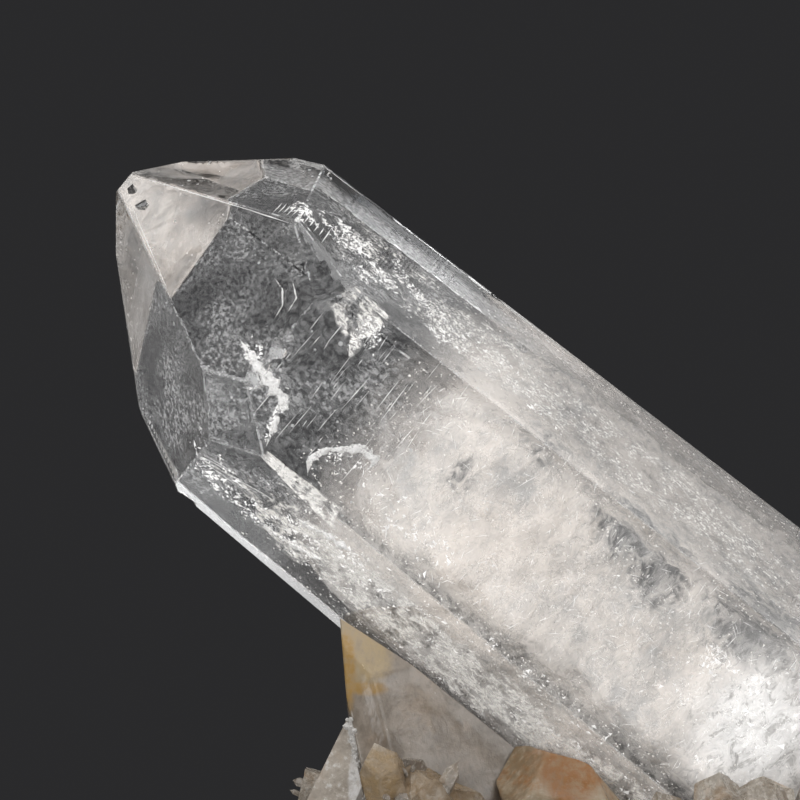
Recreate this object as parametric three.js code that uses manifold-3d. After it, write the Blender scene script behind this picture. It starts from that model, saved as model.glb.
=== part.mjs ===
// A cluster of clear quartz: one large point leans out to the left over a base of grown-together smaller
// crystals, which are stained by iron in places. Millimetres, +Z up. The origin is in the middle of the flat
// underside, and the large point's tip reaches towards -X.

import * as THREE from "three";
import { ConvexGeometry } from "three/addons/geometries/ConvexGeometry.js";
import { mergeVertices } from "three/addons/utils/BufferGeometryUtils.js";
import Module from "manifold-3d";

const wasm = await Module();
wasm.setup();

// Driving dimensions

const seatGap = 0.3; // clearance between a crystal and whatever it is seated in
const sameSpot = 1e-4; // corners nearer than this are one
const tipSlope = 51.8; // degrees from the long axis to the normal of a tip face, on every quartz point
const prismSides = 6;
const goldenTurn = 137.5; // degrees, spreads a spiral of spots or faces evenly

// A point's own frame has its origin at the root, +Z up the long axis and +X out of the front face. A side
// has a turn round the axis, a reach from the axis at the root, and a lean inwards. A tip face has a turn, a
// slope from the axis to its normal, and a top, where it would cross the axis. A bevel passes through a spot.
const largePoint = {
  place: { root: [20, -2, 22], lean: 39.2, heading: 177.9, roll: 7.2 },
  rootDepth: 6,
  sides: [
    { turn: -0.6, reach: 18.8, lean: 1.8 },
    { turn: 63.6, reach: 16.9, lean: 1.6 },
    { turn: 120, reach: 19.2, lean: 1.8 },
    { turn: 180, reach: 14.7, lean: 1.2 },
    { turn: 240, reach: 16.2, lean: 0.5 },
    { turn: 300, reach: 18.7, lean: 1.4 },
  ],
  tips: [
    { turn: 0.2, slope: 52.6, top: 96 },
    { turn: 59.3, slope: 53.5, top: 101.2 },
    { turn: 120, slope: 52.2, top: 106.8 },
    { turn: 183, slope: 56, top: 100.5 },
    { turn: 240, slope: 51.9, top: 100.6 },
    { turn: 300, slope: 51.7, top: 95 },
  ],
  bevels: [
    { turn: 0, slope: 4, through: [0, 3, 97.6] }, // worn tip
    { turn: 22, slope: 66, through: [14.4, 8.1, 76.6] }, // upper corner of the broad tip face
    { turn: 328, slope: 67, through: [15.3, -7.5, 74.2] }, // lower corner of the broad tip face
    { turn: 277, slope: 61.5, through: [-3.3, -14.2, 82.2] }, // under the tip, on the left
    { turn: 64, slope: 74, through: [9.8, 13, 81.8] }, // striated band below the upper tip face
    { turn: 92, slope: 66, through: [-2, 17.5, 83.8] }, // upper back corner
    { turn: 150, slope: 88.4, through: [-13, 7.3, 78] }, // rough edge of the back face
  ],
};

// Chips out of the large point, each a small broken hollow: its middle in the point's frame, and its size.
const chipFaces = { count: 9, seed: 3 };
const chips = [
  { at: [17.3, 0.6, 75], size: [0.9, 1.6, 1.1] },
  { at: [17.2, -1.2, 75.1], size: [1, 1.8, 1.4] },
  { at: [17.1, -3.2, 75.2], size: [0.9, 1.7, 1.3] },
  { at: [17, -5, 74.6], size: [0.8, 1.3, 1.6] },
  { at: [-0.2, 2.6, 96.6], size: [0.8, 0.5, 0.6] },
  { at: [1.4, 2.2, 94.6], size: [0.9, 0.6, 0.6] },
  { at: [1.6, -19.7, 71], size: [1, 0.7, 2] },
  { at: [17.4, -10.6, 66], size: [0.7, 0.8, 2.2] },
  { at: [-2.4, 19.8, 60], size: [1.6, 0.8, 2.6] },
  { at: [-13.6, 11.6, 70], size: [1.2, 1, 3] },
];

// Crystals crowded against the large point show only some of their faces, so each of their faces is given by
// the way it faces and a spot that it passes through, both in the cluster's frame.
const greyCrystal = [
  { facing: [0.26, -0.86, 0.44], through: [-26.5, -12.9, 29.8] }, // broad front
  { facing: [0.16, -0.74, 0.65], through: [-26.2, -10.7, 34.7] }, // tip
  { facing: [-0.3, -0.9, 0.31], through: [-26.5, -12.9, 29.8] }, // narrow front, on the left
  { facing: [-1, -0.03, -0.08], through: [-30.7, -8, 34.7] },
  { facing: [-0.97, -0.1, -0.18], through: [-30.2, -10, 31.5] },
  { facing: [-0.72, 0.64, 0.27], through: [-29.6, 1, 34] },
  { facing: [0.1, 0.98, 0.12], through: [-22, 5, 28] },
  { facing: [0.89, -0.12, -0.43], through: [-11.6, -8.7, 27.8] },
  { facing: [0.1, 0.1, 1], through: [-26, 0, 42] },
  { facing: [0, 0, -1], through: [-20, -4, 5] },
];

const orangeCrystal = [
  { facing: [0.04, -0.72, 0.69], through: [-10.7, -15.2, 28.6] }, // broad front
  { facing: [-0.66, -0.34, 0.67], through: [-11.9, -12.9, 27.9] }, // left
  { facing: [0.23, 0.12, 0.97], through: [-8.6, -12.8, 27.9] }, // top
  { facing: [0.78, -0.2, 0.59], through: [-4.7, -15.9, 26.2] }, // right
  { facing: [-0.1, -0.98, 0.16], through: [-9, -19.5, 22] },
  { facing: [0, 1, 0], through: [-9, -5, 20] },
  { facing: [-0.96, -0.1, -0.2], through: [-14.4, -14, 22] },
  { facing: [0, 0, -1], through: [-9, -12, 8] },
];

// Points round the base. The width is across opposite sides, and the length from root to tip.
const sidePoints = {
  frosted_crystal: { root: [-37.8, -8, 4.5], lean: 65, heading: 4, roll: 22, width: 10, length: 34.2, seed: 16 },
  right_crystal: { root: [12.5, -18.5, 8], lean: 62, heading: 335, roll: 12, width: 12, length: 30, seed: 11 },
  end_crystal: { root: [27, 4, 13], lean: 24, heading: 8, roll: 30, width: 11, length: 25, seed: 12 },
  upper_rear_crystal: { root: [25, 5, 20], lean: 52, heading: 52, roll: 5, width: 10.5, length: 26, seed: 13 },
  rear_crystal: { root: [4, 5, 12], lean: 40, heading: 82, roll: 20, width: 14.5, length: 33, seed: 14 },
  left_rear_crystal: { root: [-17, 10, 8], lean: 34, heading: 112, roll: 8, width: 12, length: 25, seed: 15 },
};

// How much an ordinary point's faces differ: a side's reach as a share of the usual one, its lean in degrees,
// and how much further out the larger and the lesser tip faces meet, as a share of the width.
const pointSpread = { reach: [0.86, 1.14], lean: [0.5, 2.5], largerTip: [0, 0.12], lesserTip: [0.12, 0.5] };

// The base is one mass: broken lumps, and the small points that grew out of them.
const baseLumps = [
  { at: [-6, 0, 8], size: [26, 22, 13] },
  { at: [20, 0, 12], size: [22, 23, 20] },
  { at: [31, 1, 19], size: [11, 15, 17] },
  { at: [16, -19, 14], size: [17, 8, 13] },
  { at: [28, -12, 16], size: [12, 11, 17] },
  { at: [30, 12, 14], size: [10, 12, 15] },
  { at: [12, 16, 12], size: [18, 9, 14] },
  { at: [-10, 14, 9], size: [16, 9, 11] },
  { at: [-27, 2, 7], size: [12, 16, 12] },
  { at: [-36.5, -8, 5], size: [9.5, 11, 11] },
  { at: [-23, -15, 14], size: [7, 8, 13] },
  { at: [-24, -15, 7], size: [14, 10, 10] },
  { at: [-5, -18, 10], size: [14, 8, 12] },
  { at: [2, -19, 14], size: [8, 6, 11] },
];
const lumpFaces = { count: 18, seed: 8 };
const lumpSpread = { height: 0.5, turn: 25, reach: [0.82, 1] }; // how uneven a broken block is
const ledges = { count: 46, size: [2.6, 6], faces: 11, seed: 21 };
const smallPoints = {
  count: 165,
  width: [2.4, 7],
  length: [6, 17],
  fewLarge: 1.8, // the higher, the fewer are large
  widthSpread: [0.85, 1.15],
  sideways: 0.45, // how far they stray from straight out
  upwards: [-0.1, 0.5],
  sunk: 0.45, // share of the length that is rooted in the base
  seed: 5,
};
const rootClearance = 1; // no small point or ledge starts this near a crystal
const growthSpots = { tilt: [20, 96], turn: 15, alongX: [-26, 28], alongY: [-8, 8], height: 5, from: 90 };

// The highest that small points and ledges reach: at the far left, in front, and behind.
const highest = { left: 17, leftOf: -33, front: 22, behind: 30 };
const undersideCut = { side: 200, depth: 60 };
const namedSmallPoints = [
  { root: [7.6, -20.5, 18.5], lean: 78, heading: 250, roll: 0, width: 5.4, length: 9.4, seed: 31 },
  { root: [3.4, -21, 17], lean: 70, heading: 215, roll: 20, width: 4.6, length: 9.6, seed: 32 },
  { root: [11.6, -21.5, 17], lean: 66, heading: 300, roll: 10, width: 4.4, length: 9.2, seed: 33 },
  { root: [-25.5, -15.5, 20.5], lean: 76, heading: 200, roll: 0, width: 5, length: 9.6, seed: 34 },
  { root: [-22, -17.5, 18], lean: 74, heading: 285, roll: 15, width: 5, length: 9, seed: 35 },
  { root: [-18.5, -17.5, 17], lean: 66, heading: 310, roll: 0, width: 4.2, length: 8, seed: 36 },
];

// Tools

const radians = THREE.MathUtils.degToRad;
const longAxis = new THREE.Vector3(0, 0, 1);

function seededRandom(seed) {
  let state = seed;
  return () => {
    state = (state + 0x6d2b79f5) | 0;
    let t = Math.imul(state ^ (state >>> 15), 1 | state);
    t = (t + Math.imul(t ^ (t >>> 7), 61 | t)) ^ t;
    return ((t ^ (t >>> 14)) >>> 0) / 4294967296;
  };
}

function between(random, low, high) {
  return low + (high - low) * random();
}

function facePlane(normal, spot) {
  const facing = normal.clone().normalize();
  return { facing, distance: facing.dot(spot) };
}

// The face whose normal makes `slope` with the long axis and lies `turn` round it, through a spot.
function turnedFace(turn, slope, spot) {
  const facing = new THREE.Vector3().setFromSphericalCoords(1, radians(slope), radians(90 - turn));
  return facePlane(new THREE.Vector3(facing.x, facing.z, facing.y), spot);
}

function pointFaces({ sides, tips, bevels = [], rootDepth }) {
  const faces = [];
  for (const { turn, reach, lean } of sides) {
    const foot = new THREE.Vector3(reach, 0, 0).applyAxisAngle(longAxis, radians(turn));
    faces.push(turnedFace(turn, 90 - lean, foot));
  }
  for (const { turn, slope, top } of tips) {
    faces.push(turnedFace(turn, slope, new THREE.Vector3(0, 0, top)));
  }
  for (const { turn, slope, through } of bevels) {
    faces.push(turnedFace(turn, slope, new THREE.Vector3(...through)));
  }
  faces.push(facePlane(new THREE.Vector3(0, 0, -1), new THREE.Vector3(0, 0, -rootDepth)));
  return faces;
}

// An ordinary point: six sides at slightly different reaches, and six tip faces in two unequal threes.
function commonPointFaces({ width, length, seed, rootDepth = 0 }) {
  const random = seededRandom(seed);
  const sides = [];
  const tips = [];
  for (let i = 0; i < prismSides; i++) {
    const turn = (i * 360) / prismSides;
    const reach = (width / 2) * between(random, ...pointSpread.reach);
    sides.push({ turn, reach, lean: between(random, ...pointSpread.lean) });
    const lag = between(random, ...(i % 2 === 0 ? pointSpread.largerTip : pointSpread.lesserTip));
    tips.push({ turn, slope: tipSlope, top: length + lag * width });
  }
  return pointFaces({ sides, tips, rootDepth });
}

function placeMatrix({ root, lean, heading, roll }) {
  const up = new THREE.Vector3().setFromSphericalCoords(1, radians(90 - lean), radians(90 - heading));
  up.set(up.x, up.z, up.y);
  const front = longAxis.clone().cross(up).normalize().applyAxisAngle(up, radians(roll));
  const side = up.clone().cross(front);
  return new THREE.Matrix4().makeBasis(front, side, up).setPosition(...root);
}

function movedFaces(faces, matrix) {
  const origin = new THREE.Vector3().setFromMatrixPosition(matrix);
  return faces.map(({ facing, distance }) => {
    const turned = facing.clone().transformDirection(matrix);
    return { facing: turned, distance: distance + turned.dot(origin) };
  });
}

function givenFaces(list) {
  return list.map(({ facing, through }) => {
    return facePlane(new THREE.Vector3(...facing), new THREE.Vector3(...through));
  });
}

// The solid that a set of faces bounds: its corners are where three faces meet and no other cuts them off.
function boundedBy(faces, growth = 0) {
  const corners = [];
  const slack = 1e-6;
  for (let a = 0; a < faces.length; a++) {
    for (let b = a + 1; b < faces.length; b++) {
      for (let c = b + 1; c < faces.length; c++) {
        const [p, q, r] = [faces[a], faces[b], faces[c]];
        const acrossP = new THREE.Vector3().crossVectors(q.facing, r.facing);
        const acrossQ = new THREE.Vector3().crossVectors(r.facing, p.facing);
        const acrossR = new THREE.Vector3().crossVectors(p.facing, q.facing);
        const spread = p.facing.dot(acrossP);
        if (Math.abs(spread) < slack) continue;
        const corner = acrossP.multiplyScalar(p.distance + growth)
          .addScaledVector(acrossQ, q.distance + growth)
          .addScaledVector(acrossR, r.distance + growth)
          .divideScalar(spread);
        const kept = faces.every((face) => face.facing.dot(corner) <= face.distance + growth + slack);
        if (kept) corners.push(corner);
      }
    }
  }
  return asSolid(new ConvexGeometry(corners));
}

function asSolid(geometry) {
  const bare = geometry.clone();
  bare.deleteAttribute("normal");
  bare.deleteAttribute("uv");
  const merged = mergeVertices(bare, sameSpot);
  return new wasm.Manifold(new wasm.Mesh({
    numProp: 3,
    vertProperties: new Float32Array(merged.attributes.position.array),
    triVerts: new Uint32Array(merged.index.array),
  }));
}

// The triangles of the body that has the most of them, without crumbs that the cuts left loose.
function largestBody(corners, triangles) {
  const parent = Array.from({ length: corners }, (_, i) => i);
  const rootOf = (i) => {
    while (parent[i] !== i) i = parent[i];
    return i;
  };
  for (let i = 0; i < triangles.length; i += 3) {
    parent[rootOf(triangles[i])] = rootOf(triangles[i + 1]);
    parent[rootOf(triangles[i + 1])] = rootOf(triangles[i + 2]);
  }
  const bodies = new Map();
  for (let i = 0; i < triangles.length; i += 3) {
    const body = rootOf(triangles[i]);
    if (!bodies.has(body)) bodies.set(body, []);
    bodies.get(body).push(...triangles.slice(i, i + 3));
  }
  return [...bodies.values()].sort((a, b) => b.length - a.length)[0];
}

function asGeometry(solid) {
  const { vertProperties, triVerts } = solid.getMesh();
  const geometry = new THREE.BufferGeometry();
  geometry.setAttribute("position", new THREE.BufferAttribute(new Float32Array(vertProperties), 3));
  geometry.setIndex(largestBody(vertProperties.length / 3, triVerts));
  return geometry;
}

// A broken block with faces all round it, about the size of the ellipsoid it is cut from.
function lumpFacesAt({ at, size }, random, count) {
  const faces = [];
  for (let i = 0; i < count; i++) {
    const strayHeight = between(random, -lumpSpread.height, lumpSpread.height);
    const height = 1 - (2 * (i + 0.5) - strayHeight) / count;
    const turn = radians(i * goldenTurn + between(random, -lumpSpread.turn, lumpSpread.turn));
    const flat = Math.sqrt(Math.max(0, 1 - height * height));
    const facing = new THREE.Vector3(flat * Math.cos(turn), flat * Math.sin(turn), height);
    const full = facing.clone().multiply(new THREE.Vector3(...size)).length();
    const reach = full * between(random, ...lumpSpread.reach);
    faces.push({ facing, distance: reach + facing.dot(new THREE.Vector3(...at)) });
  }
  return faces;
}

function isInside(faces, spot, margin = 0) {
  return faces.every(({ facing, distance }) => facing.dot(spot) <= distance + margin);
}

// Pieces

const largeFaces = movedFaces(pointFaces(largePoint), placeMatrix(largePoint.place));

function makeLargePoint() {
  const matrix = placeMatrix(largePoint.place);
  const random = seededRandom(chipFaces.seed);
  let solid = boundedBy(largeFaces);
  for (const chip of chips) {
    const hollow = movedFaces(lumpFacesAt(chip, random, chipFaces.count), matrix);
    solid = solid.subtract(boundedBy(hollow));
  }
  return solid;
}

// Small points and ledges stay lower than the underside of the large point.
function tipLimit(spot) {
  if (spot.x < highest.leftOf) return highest.left;
  return spot.y < 0 ? highest.front : highest.behind;
}

// Spots all over the top and sides of the base, each with the way out of the stone there.
function spotsOn(core, count, random) {
  const { tilt: tilts, turn: strayTurn, alongX, alongY, height, from } = growthSpots;
  const caster = new THREE.Raycaster();
  const spots = [];
  for (let i = 0; i < count; i++) {
    const tilt = radians(between(random, ...tilts));
    const turn = radians(i * goldenTurn + between(random, -strayTurn, strayTurn));
    const flat = Math.sin(tilt);
    const out = new THREE.Vector3(flat * Math.cos(turn), flat * Math.sin(turn), Math.cos(tilt));
    const middle = new THREE.Vector3(between(random, ...alongX), between(random, ...alongY), height);
    caster.set(middle.clone().addScaledVector(out, from), out.clone().negate());
    spots.push({ spot: caster.intersectObject(core)[0].point, out });
  }
  return spots;
}

function ledgeLumps(core, crystals) {
  const random = seededRandom(ledges.seed);
  const lumps = [];
  for (const { spot } of spotsOn(core, ledges.count, random)) {
    const size = Array.from({ length: 3 }, () => between(random, ...ledges.size));
    if (spot.z + size[2] > tipLimit(spot)) continue;
    if (crystals.some((faces) => isInside(faces, spot, rootClearance))) continue;
    lumps.push({ at: spot.toArray(), size });
  }
  return lumps;
}

function smallPointPlaces(core, crystals) {
  const { width, length, sideways, upwards } = smallPoints;
  const random = seededRandom(smallPoints.seed);
  const places = [];
  for (const { spot, out } of spotsOn(core, smallPoints.count, random)) {
    const size = random() ** smallPoints.fewLarge;
    const tall = THREE.MathUtils.lerp(...length, size);
    const stray = new THREE.Vector3();
    stray.x = between(random, -sideways, sideways);
    stray.y = between(random, -sideways, sideways);
    stray.z = between(random, ...upwards);
    const grow = out.clone().add(stray).normalize();
    const root = spot.clone().addScaledVector(grow, -smallPoints.sunk * tall);
    const tip = root.clone().addScaledVector(grow, tall);
    const place = {
      root: root.toArray(),
      lean: THREE.MathUtils.radToDeg(Math.asin(grow.z)),
      heading: THREE.MathUtils.radToDeg(Math.atan2(grow.y, grow.x)),
      roll: between(random, 0, 360 / prismSides),
      width: THREE.MathUtils.lerp(...width, size) * between(random, ...smallPoints.widthSpread),
      length: tall,
      seed: places.length + 1,
    };
    if (tip.z > tipLimit(tip)) continue;
    if (crystals.some((faces) => isInside(faces, root, rootClearance))) continue;
    places.push(place);
  }
  return places;
}

function placedPointFaces(place) {
  return movedFaces(commonPointFaces(place), placeMatrix(place));
}

function makeBase(crystals) {
  const random = seededRandom(lumpFaces.seed);
  let base = null;
  for (const lump of baseLumps) {
    const block = boundedBy(lumpFacesAt(lump, random, lumpFaces.count));
    base = base ? base.add(block) : block;
  }
  const core = new THREE.Mesh(asGeometry(base), new THREE.MeshBasicMaterial({ side: THREE.DoubleSide }));
  for (const lump of ledgeLumps(core, crystals)) {
    base = base.add(boundedBy(lumpFacesAt(lump, random, ledges.faces)));
  }
  for (const place of [...smallPointPlaces(core, crystals), ...namedSmallPoints]) {
    base = base.add(boundedBy(placedPointFaces(place)));
  }
  const { side, depth } = undersideCut;
  const below = new THREE.BoxGeometry(side, side, depth).translate(0, 0, -depth / 2);
  base = base.subtract(asSolid(below));
  for (const faces of crystals) {
    base = base.subtract(boundedBy(faces, seatGap));
  }
  return base;
}

// Each crystal is cut clear of those before it in this list, and the base is cut clear of them all.
function makeCrystals() {
  const faceSets = {
    main_crystal: largeFaces,
    grey_crystal: givenFaces(greyCrystal),
    orange_crystal: givenFaces(orangeCrystal),
  };
  for (const [name, place] of Object.entries(sidePoints)) {
    faceSets[name] = placedPointFaces(place);
  }
  const solids = {};
  const seats = [];
  for (const [name, faces] of Object.entries(faceSets)) {
    let solid = name === "main_crystal" ? makeLargePoint() : boundedBy(faces);
    for (const seat of seats) {
      solid = solid.subtract(seat);
    }
    solids[name] = solid;
    seats.push(boundedBy(faces, seatGap));
  }
  solids.base = makeBase(Object.values(faceSets));
  return solids;
}

// Finishes

const clearQuartz = { color: 0xe9edf0, roughness: 0.05, metalness: 0 };
const greyQuartz = { color: 0xa79d92, roughness: 0.3, metalness: 0 };
const frostedQuartz = { color: 0xb9b4ad, roughness: 0.6, metalness: 0 };
const stainedQuartz = { color: 0x9c6b34, roughness: 0.45, metalness: 0 };
const milkyQuartz = { color: 0xcac5bd, roughness: 0.6, metalness: 0 };
const finishes = {
  main_crystal: clearQuartz,
  grey_crystal: greyQuartz,
  frosted_crystal: frostedQuartz,
  orange_crystal: stainedQuartz,
  base: milkyQuartz,
};

const cluster = new THREE.Group();
for (const [name, solid] of Object.entries(makeCrystals())) {
  const finish = new THREE.MeshStandardMaterial(finishes[name] ?? greyQuartz);
  const mesh = new THREE.Mesh(asGeometry(solid), finish);
  mesh.name = name;
  cluster.add(mesh);
}

export default cluster;
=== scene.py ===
import math

import bmesh
import bpy
import numpy as np
from mathutils import Matrix, Vector, noise
from mathutils.kdtree import KDTree


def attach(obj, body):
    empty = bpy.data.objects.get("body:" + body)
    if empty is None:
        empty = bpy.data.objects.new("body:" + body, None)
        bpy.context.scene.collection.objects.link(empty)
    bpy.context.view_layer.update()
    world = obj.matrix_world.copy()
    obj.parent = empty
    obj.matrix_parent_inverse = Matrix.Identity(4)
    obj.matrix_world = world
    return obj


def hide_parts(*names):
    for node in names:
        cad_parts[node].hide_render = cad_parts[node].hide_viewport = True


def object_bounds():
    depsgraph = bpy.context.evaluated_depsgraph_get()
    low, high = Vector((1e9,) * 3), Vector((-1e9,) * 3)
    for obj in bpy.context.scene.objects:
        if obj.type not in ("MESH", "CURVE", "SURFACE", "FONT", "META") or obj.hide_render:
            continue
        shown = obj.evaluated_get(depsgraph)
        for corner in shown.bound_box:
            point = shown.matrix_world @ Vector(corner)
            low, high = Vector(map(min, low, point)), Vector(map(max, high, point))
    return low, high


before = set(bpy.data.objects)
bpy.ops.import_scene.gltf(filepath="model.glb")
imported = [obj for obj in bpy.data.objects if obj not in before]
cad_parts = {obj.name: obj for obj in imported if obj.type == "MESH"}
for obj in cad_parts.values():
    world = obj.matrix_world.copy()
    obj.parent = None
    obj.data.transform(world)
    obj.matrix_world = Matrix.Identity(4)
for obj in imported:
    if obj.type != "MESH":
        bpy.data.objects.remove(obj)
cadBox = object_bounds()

# Looks of a clear quartz cluster. Sizes in the dictionaries are in millimetres and turns in degrees.
mm = 0.001
scene = bpy.context.scene


# Camera and room

camera = {
    "aim": (-25, 0, 63),
    "away": 380,
    "elevation": 6,
    "lens": 162.85,
}

floor = {"radius": 62, "edge": 2.0, "thickness": 5, "sides": 128, "colour": (0.78, 0.77, 0.75)}

studio = {
    "background": (0.0235, 0.0235, 0.0248),
    "lamps": {
        "overhead": {"at": (60, 0, 420), "aim": (0, 0, 45), "size": (360, 260), "watts": 0.75},
        "left": {"at": (-380, -160, 200), "aim": (-10, 0, 40), "size": (220, 220), "watts": 0.55},
        "behind": {"at": (240, 190, 300), "aim": (10, 0, 45), "size": (260, 200), "watts": 0.1},
        "front": {"at": (190, -380, 240), "aim": (10, 0, 40), "size": (260, 240), "watts": 0.58},
        "low": {"at": (-210, -320, 10), "aim": (0, -10, 45), "size": (180, 110), "watts": 0.28},
    },
}


def makeCamera():
    data = bpy.data.cameras.new("photoCamera")
    data.lens = camera["lens"]
    data.sensor_width = 36
    data.dof.use_dof = False
    body = bpy.data.objects.new("photoCamera", data)
    scene.collection.objects.link(body)
    tilt = math.radians(camera["elevation"])
    aim = Vector(camera["aim"]) * mm
    back = Vector((0, -math.cos(tilt), math.sin(tilt)))
    body.location = aim + back * camera["away"] * mm
    body.rotation_euler = (math.radians(90) - tilt, 0, 0)
    scene.camera = body


def makeStudio():
    world = bpy.data.worlds.new("darkStudio")
    world.use_nodes = True
    world.node_tree.nodes["Background"].inputs["Color"].default_value = (*studio["background"], 1)
    scene.world = world
    scene.view_settings.view_transform = "Standard"
    for name, lamp in studio["lamps"].items():
        data = bpy.data.lights.new(name, "AREA")
        data.shape = "RECTANGLE"
        data.size, data.size_y = (side * mm for side in lamp["size"])
        data.energy = lamp["watts"]
        body = bpy.data.objects.new(name, data)
        body.location = Vector(lamp["at"]) * mm
        toward = Vector(lamp["aim"]) * mm - body.location
        body.rotation_euler = toward.to_track_quat("-Z", "Y").to_euler()
        body.visible_camera = False
        scene.collection.objects.link(body)


def makeFloor():
    data = bpy.data.meshes.new("paleFloor")
    shape = bmesh.new()
    bmesh.ops.create_cone(
        shape, cap_ends=True, segments=floor["sides"], depth=floor["thickness"] * mm,
        radius1=floor["radius"] * mm, radius2=floor["radius"] * mm,
    )
    bmesh.ops.translate(shape, verts=shape.verts, vec=(0, 0, -floor["thickness"] / 2 * mm))
    rims = [e for e in shape.edges if e.calc_face_angle(0) > 1]
    bmesh.ops.bevel(shape, geom=rims, offset=floor["edge"] * mm, segments=4, profile=0.5, affect="EDGES")
    shape.to_mesh(data)
    shape.free()
    body = bpy.data.objects.new("paleFloor", data)
    scene.collection.objects.link(body)
    finish = bpy.data.materials.new("paleFloor")
    finish.use_nodes = True
    shader = finish.node_tree.nodes["Principled BSDF"]
    shader.inputs["Base Color"].default_value = (*floor["colour"], 1)
    shader.inputs["Roughness"].default_value = 0.6
    data.materials.append(finish)


# Shapes taken from the solids of the frame

def linkPiece(name, data):
    body = bpy.data.objects.new(name, data)
    scene.collection.objects.link(body)
    return body


def facetedCopy(node):
    # the node's solid with its corners merged and each flat face in one piece
    shape = bmesh.new()
    shape.from_mesh(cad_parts[node].data)
    bmesh.ops.remove_doubles(shape, verts=shape.verts, dist=0.02 * mm)
    bmesh.ops.dissolve_limit(shape, angle_limit=math.radians(0.3), verts=shape.verts, edges=shape.edges)
    return shape


def wearEdges(shape, width, shortest, finish=0):
    # long edges get a narrow worn strip
    edges = [e for e in shape.edges if e.calc_length() > shortest * mm and e.calc_face_angle(0) > 0.2]
    made = bmesh.ops.bevel(
        shape, geom=edges, offset=width * mm, segments=1, profile=0.5, affect="EDGES", clamp_overlap=True,
    )
    for face in made["faces"]:
        face.material_index = finish


def cutFine(shape, longest):
    bmesh.ops.triangulate(shape, faces=shape.faces)
    for _ in range(14):
        tooLong = [e for e in shape.edges if e.calc_length() > longest * mm]
        if not tooLong:
            break
        bmesh.ops.subdivide_edges(shape, edges=tooLong, cuts=1, use_single_edge=True)
        bmesh.ops.triangulate(shape, faces=[f for f in shape.faces if len(f.verts) > 3])


def flatSpots(shape):
    # the way out of the stone at each corner that lies inside a flat face, or None on an edge
    shape.normal_update()
    ways = []
    for v in shape.verts:
        first = v.link_faces[0].normal
        isFlat = all(first.dot(f.normal) > 0.99999 for f in v.link_faces)
        ways.append(first.copy() if isFlat else None)
    return ways


def edgeReach(shape, ways, fade):
    # for each corner, from 0 on an edge to 1 where it lies further in than fade
    edgeSpots = [v.co for v, way in zip(shape.verts, ways) if way is None]
    tree = KDTree(len(edgeSpots))
    for i, spot in enumerate(edgeSpots):
        tree.insert(spot, i)
    tree.balance()
    return [min(1, tree.find(v.co)[2] / (fade * mm)) for v in shape.verts]


def liftFlat(shape, height, fade):
    # moves the flat spots by height(spot, way), less and less towards the edges
    ways = flatSpots(shape)
    moves = [
        (v, way * height(v.co / mm, way) * reach * mm)
        for v, way, reach in zip(shape.verts, ways, edgeReach(shape, ways, fade)) if way is not None
    ]
    for v, move in moves:
        v.co += move


def skin(shape, rows):
    # faces between rings of corners, welded where the first and last ring shrink to a point
    for low, high in zip(rows, rows[1:]):
        for j in range(len(low)):
            k = (j + 1) % len(low)
            shape.faces.new((low[j], low[k], high[k], high[j]))
    bmesh.ops.remove_doubles(shape, verts=shape.verts, dist=1e-7)
    bmesh.ops.recalc_face_normals(shape, faces=shape.faces)


def finishShape(shape, name, sharp=9):
    data = bpy.data.meshes.new(name)
    shape.to_mesh(data)
    shape.free()
    data.shade_smooth()
    data.set_sharp_from_angle(angle=math.radians(sharp))
    return linkPiece(name, data)


# The large point's own frame, as in its solid: front out of the broad side, up along the axis

largePoint = {"root": (20, -2, 22), "lean": 39.2, "heading": 177.9, "roll": 7.2}


def pointBasis(place):
    lean, heading, roll = (math.radians(place[k]) for k in ("lean", "heading", "roll"))
    up = Vector((math.cos(lean) * math.cos(heading), math.cos(lean) * math.sin(heading), math.sin(lean)))
    front = Matrix.Rotation(roll, 3, up) @ Vector((0, 0, 1)).cross(up).normalized()
    return Matrix((front, up.cross(front), up))


toPoint = pointBasis(largePoint)  # turns a way in the cluster's frame into the point's frame
fromPoint = toPoint.transposed()
pointRoot = Vector(largePoint["root"])
onTip = 0.3  # a face that looks up the axis by more than this belongs to the tip


def inPoint(spot):
    return toPoint @ (spot - pointRoot)


def fromPointSpot(spot):
    return fromPoint @ Vector(spot) + pointRoot


def keepInside(body, shadow=False):
    # lies inside the clear point, and mostly lets the lamps through
    body.visible_shadow = shadow
    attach(body, "root")


# Materials

def newFinish(name):
    finish = bpy.data.materials.new(name)
    finish.use_nodes = True
    tree = finish.node_tree
    return finish, tree, tree.nodes["Principled BSDF"]


def addNode(tree, kind, **settings):
    node = tree.nodes.new("ShaderNode" + kind)
    for key, value in settings.items():
        setattr(node, key, value)
    return node


def wire(tree, *pairs):
    for source, target in pairs:
        tree.links.new(source, target)


def plug(tree, value, target):
    # a socket is linked, anything else is set
    if isinstance(value, bpy.types.NodeSocket):
        tree.links.new(value, target)
    else:
        target.default_value = value


def calc(tree, operation, first, second=0.0):
    node = addNode(tree, "Math", operation=operation)
    plug(tree, first, node.inputs[0])
    plug(tree, second, node.inputs[1])
    return node.outputs[0]


def times(tree, first, second):
    return calc(tree, "MULTIPLY", first, second)


def plus(tree, first, second):
    return calc(tree, "ADD", first, second)


def rest(tree, value):
    return calc(tree, "SUBTRACT", 1, value)


def distance(tree, place, spot):
    node = addNode(tree, "VectorMath", operation="DISTANCE")
    node.inputs[1].default_value = spot
    wire(tree, (place, node.inputs[0]))
    return node.outputs["Value"]


def spread(tree, value, low, high, bottom=0.0, top=1.0):
    # from bottom to top as the value goes from low to high
    node = addNode(tree, "MapRange", interpolation_type="SMOOTHSTEP")
    keys = ("Value", "From Min", "From Max", "To Min", "To Max")
    for key, number in zip(keys, (value, low, high, bottom, top)):
        plug(tree, number, node.inputs[key])
    return node.outputs[0]


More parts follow.
